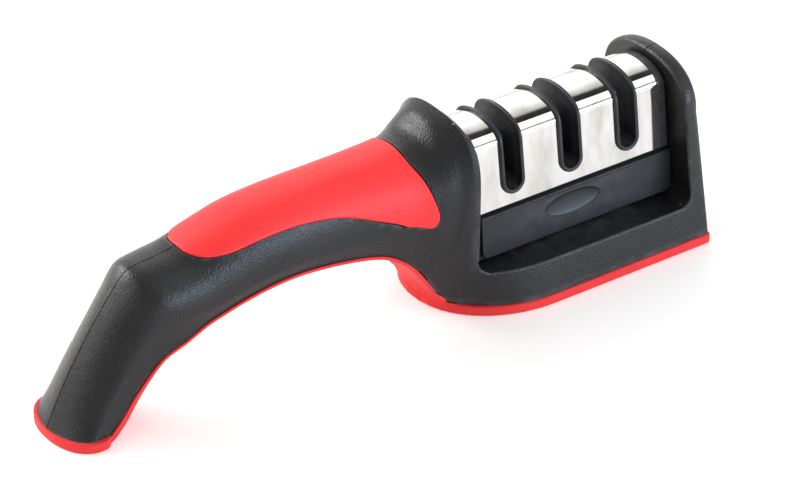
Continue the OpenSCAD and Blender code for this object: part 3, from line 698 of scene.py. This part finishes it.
strip_rings = [strip_ring(i / 5) for i in range(5 * HEEL_U + 5)]
foot_way = Vector(strip_rings[3][0]) - Vector(strip_rings[0][0])
foot_way *= (SOLE_T - STRIP_LOW) / foot_way.z
strip_rings.insert(0, [(x - foot_way.x, y, max(z - foot_way.z, 0.3)) for x, y, z in strip_rings[0]])
strip = loft("strip", strip_rings)
carve(sole, foot_pad, "UNION")
carve(sole, strip, "UNION")
soften(sole, 40)
report_piece(sole)

# %% [markdown]
# ## The cartridge's outline
# The steel cover is a strip bent over the top of the cartridge: two leaning sides, two bends and a low
# crown. Its outline is worked out once, with arcs that meet without a kink, because polished steel shows
# every kink. The core under it uses the same outline moved inwards, and the slot lips moved outwards.

# %% Cover outline
COVER_LOW, COVER_Z, COVER_H = 12.4, 28, 51.4
BEND_Y, BEND_Z, BEND_R, SHEET = 5.75, 45.9, 4.2, 0.6
rise = COVER_H - BEND_Z
CROWN_R = (rise ** 2 + BEND_Y ** 2 - BEND_R ** 2) / (2 * (rise - BEND_R))
COVER_X0, COVER_X1 = MID_X - 30.9, MID_X + 32.2
side_lean = math.atan2(BEND_Z - COVER_Z, COVER_LOW - BEND_Y)
reach = math.hypot(BEND_Z - COVER_Z, COVER_LOW - BEND_Y)
side_angle = math.acos(BEND_R / reach) - side_lean
crown_turn = math.asin(BEND_Y / (CROWN_R - BEND_R))


def cover_profile(out=0.0, low=COVER_Z):
    """Half outline as (y, z) from the lower edge to the crown, moved outwards by a distance in mm."""
    top = [(BEND_Y + (BEND_R + out) * math.cos(a), BEND_Z + (BEND_R + out) * math.sin(a))
           for a in [side_angle + (math.pi / 2 - crown_turn - side_angle) * i / 16 for i in range(17)]]
    crown = [((CROWN_R + out) * math.sin(a), COVER_H - CROWN_R + (CROWN_R + out) * math.cos(a))
             for a in [crown_turn * (1 - i / 6) for i in range(1, 7)]]
    y, z = top[0]
    foot = (y + (z - low) * math.tan(side_angle), low)
    return [foot] + top + crown


def whole(half):
    """Both sides of a half outline, from the near lower edge over the crown to the far lower edge."""
    return [(-y, z) for y, z in half] + [(y, z) for y, z in reversed(half[:-1])]


print("side leans", round(math.degrees(side_angle), 2), "degrees")

# %% [markdown]
# ## Slot lips
# Each slot has a raised plastic lip that runs down both faces and over the top. Seen flat on the bent
# sheet it is a long oval, so a small rounded section is swept round that oval and laid on the outline.

# %% Lips
SLOT_X = [MID_X - 19.1, MID_X + 0.9, MID_X + 20.7]
SLOT_W, SLOT_Z, LIP = 5.4, 32.2, 1.2
LIP_SECTION = [(-0.02, -2.4), (-0.02, 0.35), (0.04, 0.6), (0.16, 0.78), (0.36, 0.88), (0.6, 0.9),
               (0.84, 0.88), (1.04, 0.78), (1.16, 0.6), (1.2, 0.35), (1.2, -2.4)]
flat = whole(cover_profile(0, 20))
lengths = [0.0]
for (ya, za), (yb, zb) in zip(flat, flat[1:]):
    lengths.append(lengths[-1] + math.hypot(yb - ya, zb - za))


def on_cover(x, along, out):
    """A point at a place on the unrolled sheet, along from its middle, lifted off it by a distance."""
    s = min(max(along + lengths[-1] / 2, 0.001), lengths[-1] - 0.001)
    i = max(k for k in range(len(flat) - 1) if lengths[k] <= s)
    t = (s - lengths[i]) / (lengths[i + 1] - lengths[i])

    def normal(k):
        (ya, za), (yb, zb) = flat[max(k - 1, 0)], flat[min(k + 1, len(flat) - 1)]
        return Vector((-(zb - za), yb - ya)).normalized()

    p = Vector(flat[i]).lerp(Vector(flat[i + 1]), t)
    n = normal(i).lerp(normal(i + 1), t).normalized()
    if i in (0, len(flat) - 2):
        (ya, za), (yb, zb) = flat[i], flat[i + 1]
        n = Vector((-(zb - za), yb - ya)).normalized()
    return (x, p.x + n.x * out, p.y + n.y * out)


slope = (flat[1][1] - flat[0][1]) / lengths[1]
turn_at = lengths[-1] / 2 - (SLOT_Z + SLOT_W / 2 - flat[0][1]) / slope
ARC_N, RAIL_N = 16, 44
oval = []
for turn, end in ((0, -turn_at), (math.pi, turn_at)):
    oval += [(turn + math.pi * i / ARC_N, end, 1) for i in range(ARC_N + 1)]
    oval += [(turn + math.pi, end * (1 - 2 * i / RAIL_N), 0) for i in range(1, RAIL_N)]


def lip(x):
    """The lip of the slot at x."""
    rings = []
    for a, along, at_end in oval:
        ring = []
        for wide, out in LIP_SECTION:
            r = SLOT_W / 2 + wide
            ring.append(on_cover(x + r * math.cos(a), along - r * math.sin(a) * at_end, out))
        rings.append(ring)
    piece, mesh = start_piece("lip")
    run_chain(mesh, rings + [rings[0]], closed=True)
    return close_up(piece)


lips = [lip(x) for x in SLOT_X]
report_piece(lips[0])

# %% [markdown]
# ## The core of the cartridge
# The core is black plastic in two halves: a block under the steel with a rim at each end, a plain lower
# panel with a finger scoop, and a plug for the cradle's pocket. Each part is lofted with its edges already
# rounded and then joined by Booleans, because a bevel put on after a Boolean tears at the short edges.

# %% Block and slots
PLAY = 0.4
CORE_X0, CORE_X1, CORE_Z = BAY_X0 + PLAY, BAY_X1 - PLAY, FLOOR_Z + PLAY
BLOCK_Y, BLOCK_TOP, BLOCK_LOW = 11.7, 27.6, 19
PANEL_X0, PANEL_Y, PANEL_Z0, PANEL_Z1 = 30.2, 14.6, 14.4, 27.1
UNDER = SHEET + SEAT_GAP


def block_ring(x, out):
    """Section of the block: the cover's outline moved outwards, closed below by a plain box."""
    ring = whole(cover_profile(out)) + [(BLOCK_Y, BLOCK_TOP), (BLOCK_Y, BLOCK_LOW),
                                        (-BLOCK_Y, BLOCK_LOW), (-BLOCK_Y, BLOCK_TOP)]
    return [(x, y, z) for y, z in ring]


def end_rim(end_x, steel_x, way):
    """Stations of the rim at one end: rounded outside, eased at the steel, then down under the sheet."""
    return [(end_x + way * 0.03, -0.4), (end_x + way * 0.13, -0.17), (end_x + way * 0.38, 0),
            (steel_x - way * 0.2, 0), (steel_x - way * 0.05, -0.06), (steel_x, -0.2), (steel_x, -UNDER)]


stations = end_rim(CORE_X0, COVER_X0 - SEAT_GAP, 1)
stations += reversed(end_rim(CORE_X1, COVER_X1 + SEAT_GAP, -1))
core = loft("core", [block_ring(x, out) for x, out in stations])


def slot_cutter(x, half_wide, low):
    """A slot's outline, round at the bottom, run right across the cartridge."""
    arc = [math.pi + math.pi * i / 32 for i in range(33)]
    outline = [(x + half_wide * math.cos(a), low + half_wide + half_wide * math.sin(a)) for a in arc]
    outline += [(x + half_wide, 60), (x - half_wide, 60)]
    return loft("slot", [[(px, y, pz) for px, pz in outline] for y in (-25, 25)])


for x in SLOT_X:
    carve(core, slot_cutter(x, SLOT_W / 2, SLOT_Z))
for piece in lips:
    carve(core, piece, "UNION")
report_piece(core)


# %% Panel, foot, plug and scoop
def upright(rear_x, low_z, high_z, low_r, high_r):
    """Outline of the core seen along Y, with round lower and upper corners."""
    outline = []
    for cx, cz_, r, start in ((rear_x, low_z, low_r, 180), (CORE_X1, low_z, low_r, 270),
                              (CORE_X1, high_z, high_r, 0), (rear_x, high_z, high_r, 90)):
        mx, mz = cx + (r if cx == rear_x else -r), cz_ + (r if cz_ == low_z else -r)
        for i in range(9):
            a = math.radians(start + 90 * i / 8)
            outline.append((mx + r * math.cos(a), mz + r * math.sin(a)))
    return outline


def panel_face(z):
    """Half width of the leaning panel at height z."""
    return PANEL_Y - (z - PANEL_Z0) / (PANEL_Z1 - PANEL_Z0)


SCOOP_X, SCOOP_Z, SCOOP_D, SCOOP_N, SCOOP_MID = 9.6, 3.4, 1, 14, 22.4


def scoop_ring(side, i):
    """One oval of the finger scoop, from its mouth inwards. It is deeper at the top than below."""
    a = math.radians(87) * max(i, 0) / SCOOP_N
    ring = []
    for k in range(72):
        x, z = math.cos(a) * math.cos(math.tau * k / 72), math.cos(a) * math.sin(math.tau * k / 72)
        deep = SCOOP_D * math.sin(a) * (1 + 0.45 * z) if i >= 0 else -1
        height = SCOOP_MID + SCOOP_Z * z
        ring.append((MID_X + SCOOP_X * x, side * (panel_face(height) - deep), height))
    return ring


panel_outline = upright(PANEL_X0, PANEL_Z0, PANEL_Z1, 2, 0.3)
foot_outline = drawn_in(upright(CORE_X0, CORE_Z, 20.5, 3.6, 0.3), 0.015)
for side in (-1, 1):
    rings = [[(p.x, side * (panel_face(p.y) - deep), p.y) for p in drawn_in(panel_outline, by)]
             for deep, by in ((0, 0.5), (0.04, 0.28), (0.15, 0.1), (0.4, 0))]
    rings.append([(x, side * 5, z) for x, z in panel_outline])
    panel = loft("panel", rings)
    scoop = loft("scoop", [scoop_ring(side, i) for i in range(-1, SCOOP_N + 1)])
    carve(panel, scoop)
    carve(core, panel, "UNION")
foot_rings = [(-13.2, 0.35), (-13.1, 0.1), (-12.85, 0), (12.85, 0), (13.1, 0.1), (13.2, 0.35)]
foot = loft("foot", [[(p.x, y, p.y) for p in drawn_in(foot_outline, by)] for y, by in foot_rings])
carve(core, foot, "UNION")
carve(core, rounded_box("hollow", (CORE_X0 + 7, -10.6, CORE_Z - 3), (CORE_X1 - 7, 10.6, CORE_Z + 8), 0.6))
plug_x, plug_y, plug_z = POCKET_LEN / 2 - PLAY, POCKET_W / 2 - PLAY, FLOOR_Z - POCKET_D + PLAY
carve(core, rounded_box("plug", (MID_X - plug_x, -plug_y, plug_z), (MID_X + plug_x, plug_y, CORE_Z + 9), 0.6),
      "UNION")
report_piece(core)

# %% Two core halves
only(core)
bpy.ops.object.duplicate()
core_far = bpy.context.object
core.name = core.data.name = "near_core"
core_far.name = core_far.data.name = "far_core"
SPLIT, CORE_SCREW_X, CORE_SCREW_Z, CORE_WELL_D = 0.03, 10, 31, 4.6
carve(core, rounded_box("near_space", (0, -40, 0), (120, -SPLIT, 80), 0.01), "INTERSECT")
carve(core_far, rounded_box("far_space", (0, SPLIT, 0), (120, 40, 80), 0.01), "INTERSECT")
for x in (MID_X - CORE_SCREW_X, MID_X + CORE_SCREW_X):
    carve(core_far, well("core_well", x, CORE_SCREW_Z, CORE_WELL_D, 6, 20))
for piece in (core, core_far):
    soften(piece)
    report_piece(piece)

# %% [markdown]
# ## The steel cover
# On the real object this is a strip of stainless sheet, punched with three slots and bent over the core.
# The sheet is lofted along the cartridge with its ends and lower edges eased, then the slots are punched.


# %% Steel cover
def sheet_ring(x, ease):
    """Section of the sheet, with its edges eased by a distance in mm."""
    outer = whole(cover_profile(-ease, COVER_Z + 0.1))
    inner = whole(cover_profile(ease - SHEET, COVER_Z + 0.1))
    lower = COVER_LOW - SHEET / 2
    ring = [(-lower, COVER_Z)] + outer + [(lower, COVER_Z)] + inner[::-1]
    return [(x, y, z) for y, z in ring]


ends = [(COVER_X0, 0.14), (COVER_X0 + 0.05, 0.05), (COVER_X0 + 0.15, 0)]
ends += [(COVER_X0 + COVER_X1 - x, ease) for x, ease in reversed(ends)]
cover = loft("bent_cover", [sheet_ring(x, ease) for x, ease in ends])
for x in SLOT_X:
    carve(cover, slot_cutter(x, SLOT_W / 2 + LIP + SEAT_GAP, SLOT_Z - LIP - SEAT_GAP))
soften(cover)
report_piece(cover)

# %% [markdown]
# ## Finishes
# Every finish is made of nodes on Object coordinates, so that grain keeps its size in millimetres.
# The colour drifts between two tones, the roughness varies and fine grain gives a bump. Edges that stick
# out get an edge tone: on the black and steel parts a paler one, which is a painted highlight, and on the
# red parts a darker one. Each vertex stores how sharply the surface turns there, and a patchy noise breaks
# that up. A few specks of pale dust lie on faces that look upwards.


# %% Edge mark and finish helper
# The edge mark below drives the painted highlight along edges in the finishes.
def mark_edges(piece, least=14, most=26):
    """Stores on every vertex how sharply the surface turns outwards there, from 0 to 1, but for the split."""
    mesh = bmesh.new()
    mesh.from_mesh(piece.data)
    turns = []
    for vert in mesh.verts:
        turn = max(math.degrees(e.calc_face_angle_signed(0)) for e in vert.link_edges)
        turns.append(turn if abs(vert.co.y) > 0.5 * MM else 0)
    mesh.free()
    attribute = piece.data.attributes.new("edge", "FLOAT", "POINT")
    attribute.data.foreach_set("value", [min(1, max(0, (t - least) / (most - least))) for t in turns])


def finish_material(name, tones, rough, grain_mm, bump, patch_mm=14, metal=0.0, specular=0.5,
                    stretch=(1, 1, 1), painted_edge_tone=None, dust=None):
    """Tones are two colours, rough is a range, grain is its size in mm and bump its height in mm."""
    material = bpy.data.materials.new(name)
    material.use_nodes = True
    nodes, links = material.node_tree.nodes, material.node_tree.links
    shader = nodes["Principled BSDF"]
    shader.inputs["Metallic"].default_value = metal
    shader.inputs["Specular IOR Level"].default_value = specular
    place = nodes.new("ShaderNodeTexCoord")
    mapping = nodes.new("ShaderNodeMapping")
    mapping.inputs["Scale"].default_value = stretch
    links.new(place.outputs["Object"], mapping.inputs["Vector"])

    def noise(size_mm, detail):
        node = nodes.new("ShaderNodeTexNoise")
        node.inputs["Scale"].default_value = 1 / (size_mm * MM)
        node.inputs["Detail"].default_value = detail
        links.new(mapping.outputs["Vector"], node.inputs["Vector"])
        return node.outputs["Fac"]

    def spread(value, low, high, to_low, to_high):
        node = nodes.new("ShaderNodeMapRange")
        for key, number in (("From Min", low), ("From Max", high), ("To Min", to_low), ("To Max", to_high)):
            node.inputs[key].default_value = number
        links.new(value, node.inputs["Value"])
        return node.outputs["Result"]

    def times(one, two):
        node = nodes.new("ShaderNodeMath")
        node.operation = "MULTIPLY"
        links.new(one, node.inputs[0])
        links.new(two, node.inputs[1])
        return node.outputs["Value"]

    def mixed(factor, colour, over):
        node = nodes.new("ShaderNodeMix")
        node.data_type = "RGBA"
        links.new(factor, node.inputs["Factor"])
        links.new(colour, node.inputs[6])
        node.inputs[7].default_value = (*over, 1)
        return node.outputs[2]

    grain = noise(grain_mm, 3)
    ramp = nodes.new("ShaderNodeValToRGB")
    ramp.color_ramp.elements[0].position, ramp.color_ramp.elements[1].position = 0.3, 0.7
    for element, tone in zip(ramp.color_ramp.elements, tones):
        element.color = (*tone, 1)
    links.new(noise(patch_mm, 4), ramp.inputs["Fac"])
    colour = ramp.outputs["Color"]
    # Painted highlight along edges: the edge tone, paler on the black and steel parts and darker on the red
    # ones, is mixed in where the edge mark is high.
    if painted_edge_tone:
        mark = nodes.new("ShaderNodeAttribute")
        mark.attribute_name = "edge"
        colour = mixed(times(mark.outputs["Fac"], spread(noise(5, 5), 0.35, 0.65, 0.1, 1)), colour, painted_edge_tone)
    if dust:
        facing = nodes.new("ShaderNodeSeparateXYZ")
        geometry = nodes.new("ShaderNodeNewGeometry")
        links.new(geometry.outputs["Normal"], facing.inputs["Vector"])
        upward = spread(facing.outputs["Z"], 0.7, 0.9, 0, 1)
        colour = mixed(times(spread(noise(1.3, 0), 0.83, 0.86, 0, 1), upward), colour, dust)
    links.new(colour, shader.inputs["Base Color"])
    links.new(spread(grain, 0.3, 0.7, *rough), shader.inputs["Roughness"])
    relief = nodes.new("ShaderNodeBump")
    relief.inputs["Distance"].default_value = bump * MM
    relief.inputs["Strength"].default_value = 1
    links.new(grain, relief.inputs["Height"])
    links.new(relief.outputs["Normal"], shader.inputs["Normal"])
    return material


# %% Finishes
# The paler edge tones of body_black, core_black and bright_steel are painted highlights; grip_red and
# sole_red get a darker tone at their edges.
body_black = finish_material("body_black", ((0.006, 0.006, 0.0065), (0.01, 0.01, 0.0105)),
                             (0.25, 0.38), 0.55, 0.16, specular=0.34, painted_edge_tone=(0.055, 0.055, 0.057),
                             dust=(0.2, 0.2, 0.19))
core_black = finish_material("core_black", ((0.009, 0.0095, 0.0115), (0.012, 0.0125, 0.015)),
                             (0.34, 0.46), 0.5, 0.015, specular=0.34, painted_edge_tone=(0.035, 0.035, 0.037))
grip_red = finish_material("grip_red", ((0.74, 0.018, 0.019), (0.8, 0.022, 0.023)), (0.46, 0.58), 0.5, 0.012,
                           specular=0.36, painted_edge_tone=(0.62, 0.03, 0.03))
sole_red = finish_material("sole_red", ((0.62, 0.03, 0.031), (0.68, 0.036, 0.037)), (0.46, 0.6), 0.5, 0.012,
                           specular=0.15, painted_edge_tone=(0.52, 0.03, 0.03))
bright_steel = finish_material("bright_steel", ((0.43, 0.4, 0.365), (0.55, 0.522, 0.487)),
                               (0.05, 0.11), 4, 0.002, patch_mm=10, metal=1.0, stretch=(1, 1, 0.35),
                               painted_edge_tone=(0.6, 0.59, 0.57))
screw_steel = finish_material("screw_steel", ((0.5, 0.5, 0.5), (0.6, 0.6, 0.6)), (0.25, 0.4), 0.2, 0.01,
                              metal=1.0)
grit = finish_material("grit", ((0.05, 0.05, 0.055), (0.2, 0.2, 0.21)), (0.5, 0.8), 0.15, 0.06, patch_mm=0.3,
                       metal=0.6)
carbide = finish_material("carbide", ((0.22, 0.22, 0.23), (0.3, 0.3, 0.31)), (0.25, 0.4), 0.3, 0.01,
                          metal=1.0)
ceramic = finish_material("ceramic", ((0.72, 0.71, 0.68), (0.8, 0.79, 0.76)), (0.35, 0.5), 0.3, 0.02)

# %% Dress the pieces
DRESS = [
    (near, body_black, "body", "body_plastic", "near_shell"),
    (far, body_black, "body", "body_plastic", "far_shell"),
    (grip, grip_red, "body", "soft_red", "grip_pad"),
    (sole, sole_red, "body", "soft_red", "sole"),
    (core, core_black, "cartridge", "core_plastic", "core_near"),
    (core_far, core_black, "cartridge", "core_plastic", "core_far"),
    (cover, bright_steel, "cartridge", "cover_steel", "steel_cover"),
]
for piece, material, body, slot, node in DRESS:
    mark_edges(piece)
    piece.data.materials.clear()
    piece.data.materials.append(material)
    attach(piece, body)
    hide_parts(node)
for node, material in (("body_screws", screw_steel), ("core_screws", screw_steel),
                       ("abrasive_rod_near", grit), ("abrasive_rod_far", grit),
                       ("carbide_blade_near", carbide), ("carbide_blade_far", carbide),
                       ("ceramic_rod_near", ceramic), ("ceramic_rod_far", ceramic)):
    mesh = frame["nodes"][node].data
    mesh.materials.clear()
    mesh.materials.append(material)
print(len(DRESS), "pieces dressed")

# %% [markdown]
# ## Floor and light
# The picture is a product shot on white. The floor is a pale light table that glows a little, so shadows
# stay faint. A large soft light hangs behind on the left, a small one beside the tail, and a cool card in
# front draws the sheen along the handle.
# Polished steel shows what it faces, so an arch of bright panels stands over the cartridge. The gap
# between the panels draws the dark band above the bend, and a dimmer stretch low in front draws the thin
# line below it.

# %% Floor
only()
bpy.ops.mesh.primitive_plane_add(size=8)
floor = bpy.context.object
floor.name = "floor"
floor_white = finish_material("floor_white", ((0.9, 0.872, 0.84), (0.92, 0.892, 0.86)), (0.6, 0.7), 30, 0.01,
                              patch_mm=200)
glow = floor_white.node_tree.nodes["Principled BSDF"].inputs
glow["Emission Color"].default_value, glow["Emission Strength"].default_value = (1, 1, 1, 1), 0.17
floor.data.materials.append(floor_white)
print("floor laid")


# %% Lights
LOOK_AT = Vector((0.03, 0, 0.03))


def card(name, towards, distance, size, power, colour=(1, 1, 1)):
    """An area light that hangs in a direction from the object and looks at it."""
    direction = Vector(towards).normalized()
    bpy.ops.object.light_add(type="AREA", location=LOOK_AT + direction * distance)
    light = bpy.context.object
    light.name = name
    light.rotation_euler = direction.to_track_quat("Z", "Y").to_euler()
    light.data.shape = "RECTANGLE"
    light.data.size, light.data.size_y = size
    light.data.energy, light.data.color = power, colour


card("key", (-0.42, 0.75, 0.5), 1.1, (0.7, 0.5), 12.5)
card("side_card", (-0.9, 0.25, 0.36), 1.0, (0.5, 0.3), 2.4)
card("front_card", (0.45, -0.87, 0.18), 0.9, (0.7, 0.12), 6, (0.66, 0.8, 1))

# %% Room
# Strength by the angle over the object from the front horizon (0) to the rear one (180 degrees).
ARCH = [(0, 1.3), (5, 1.3), (14, 0.6), (28, 0.6), (38, 2.4), (86, 2.4), (89, 0.04), (103, 0.05), (107, 0.9),
        (118, 1.5), (135, 2.4), (160, 2.4), (180, 1.2)]
ROOM, ROOM_SIDE, ARCH_X, ARCH_WIDE, ARCH_FADE = 0.73, 0.19, 0.487, 0.13, 0.07
world = bpy.data.worlds.new("studio")
bpy.context.scene.world = world
world.use_nodes = True
nodes, links = world.node_tree.nodes, world.node_tree.links


def world_node(kind, operation, *inputs):
    """A math node whose inputs are sockets or plain numbers."""
    node = nodes.new(kind)
    node.operation = operation
    for socket, value in zip(node.inputs, inputs):
        if isinstance(value, bpy.types.NodeSocket):
            links.new(value, socket)
        else:
            socket.default_value = value
    return node.outputs[0]


direction = nodes.new("ShaderNodeTexCoord")
split = nodes.new("ShaderNodeSeparateXYZ")
links.new(direction.outputs["Generated"], split.inputs["Vector"])
back_y = world_node("ShaderNodeMath", "MULTIPLY", split.outputs["Y"], -1.0)
angle = world_node("ShaderNodeMath", "ARCTAN2", split.outputs["Z"], back_y)
around = world_node("ShaderNodeMath", "DIVIDE", angle, math.pi)
arch = nodes.new("ShaderNodeValToRGB")
panels = arch.color_ramp.elements
for degrees, _ in ARCH[1:-1]:
    panels.new(degrees / 180)
for panel_end, (_, bright) in zip(panels, ARCH):
    panel_end.color = (bright, bright, bright, 1)
links.new(around, arch.inputs["Fac"])
from_arch = world_node("ShaderNodeMath", "SUBTRACT", split.outputs["X"], ARCH_X)
off_arch = world_node("ShaderNodeMath", "ABSOLUTE", from_arch)
window = nodes.new("ShaderNodeMapRange")
for key, number in (("From Min", ARCH_WIDE), ("From Max", ARCH_WIDE + ARCH_FADE),
                    ("To Min", 1), ("To Max", 0)):
    window.inputs[key].default_value = number
links.new(off_arch, window.inputs["Value"])
plain = world_node("ShaderNodeMath", "MULTIPLY_ADD", split.outputs["X"], ROOM_SIDE, ROOM)
over = world_node("ShaderNodeMath", "SUBTRACT", arch.outputs["Color"], plain)
strength = world_node("ShaderNodeMath", "MULTIPLY_ADD", over, window.outputs["Result"], plain)
links.new(strength, nodes["Background"].inputs["Strength"])
nodes["Background"].inputs["Color"].default_value = (1, 1, 1, 1)
bpy.context.scene.view_settings.view_transform = "Standard"
print("lights and room set")
